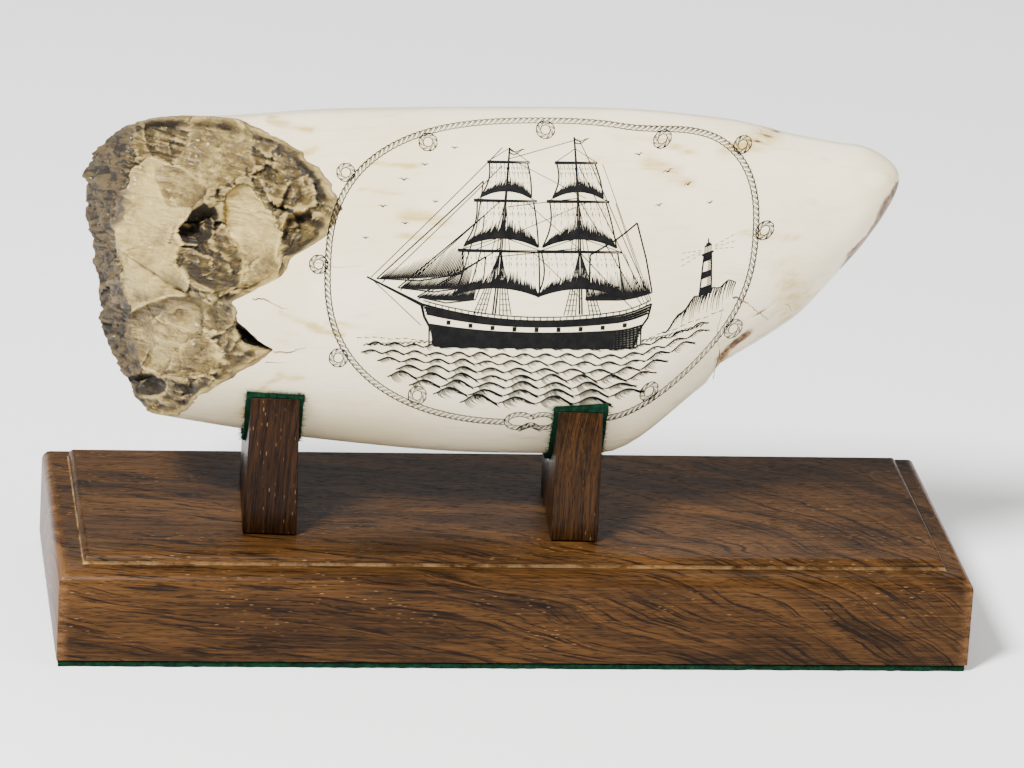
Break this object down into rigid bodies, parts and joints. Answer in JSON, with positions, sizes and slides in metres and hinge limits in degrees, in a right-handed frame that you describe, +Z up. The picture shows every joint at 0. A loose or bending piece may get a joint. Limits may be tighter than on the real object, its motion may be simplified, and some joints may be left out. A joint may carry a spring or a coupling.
{
  "type": "scrimshaw whale tooth on stand",
  "caption": "Engraved whale tooth with a broken root, lying on felt-lined cradles on a moulded rosewood base; it stands on a felt underside.",
  "frame": {"origin": "centre of the base's underside, on the surface that it stands on", "axes": "+X along the base from the tooth's root to its tip, +Y from the engraved front to the back, +Z up"},
  "size_m": [0.203, 0.076, 0.1183],
  "materials": {
    "ivory": "softly polished whale ivory, rough brown broken root",
    "engraving_ink": "black ink rubbed into fine cut lines",
    "base_rosewood": "open-pored rosewood, satin lacquer",
    "cradle_rosewood": "straight-grained rosewood, satin lacquer",
    "green_felt": "dark green felt, fuzzy cut edges"
  },
  "bodies": {
    "root": {"base_board": "base_rosewood", "base_felt": "green_felt", "tooth": "ivory", "cradle_left": "cradle_rosewood", "cradle_left_felt": "green_felt", "cradle_right": "cradle_rosewood", "cradle_right_felt": "green_felt"}
  },
  "joints": []
}
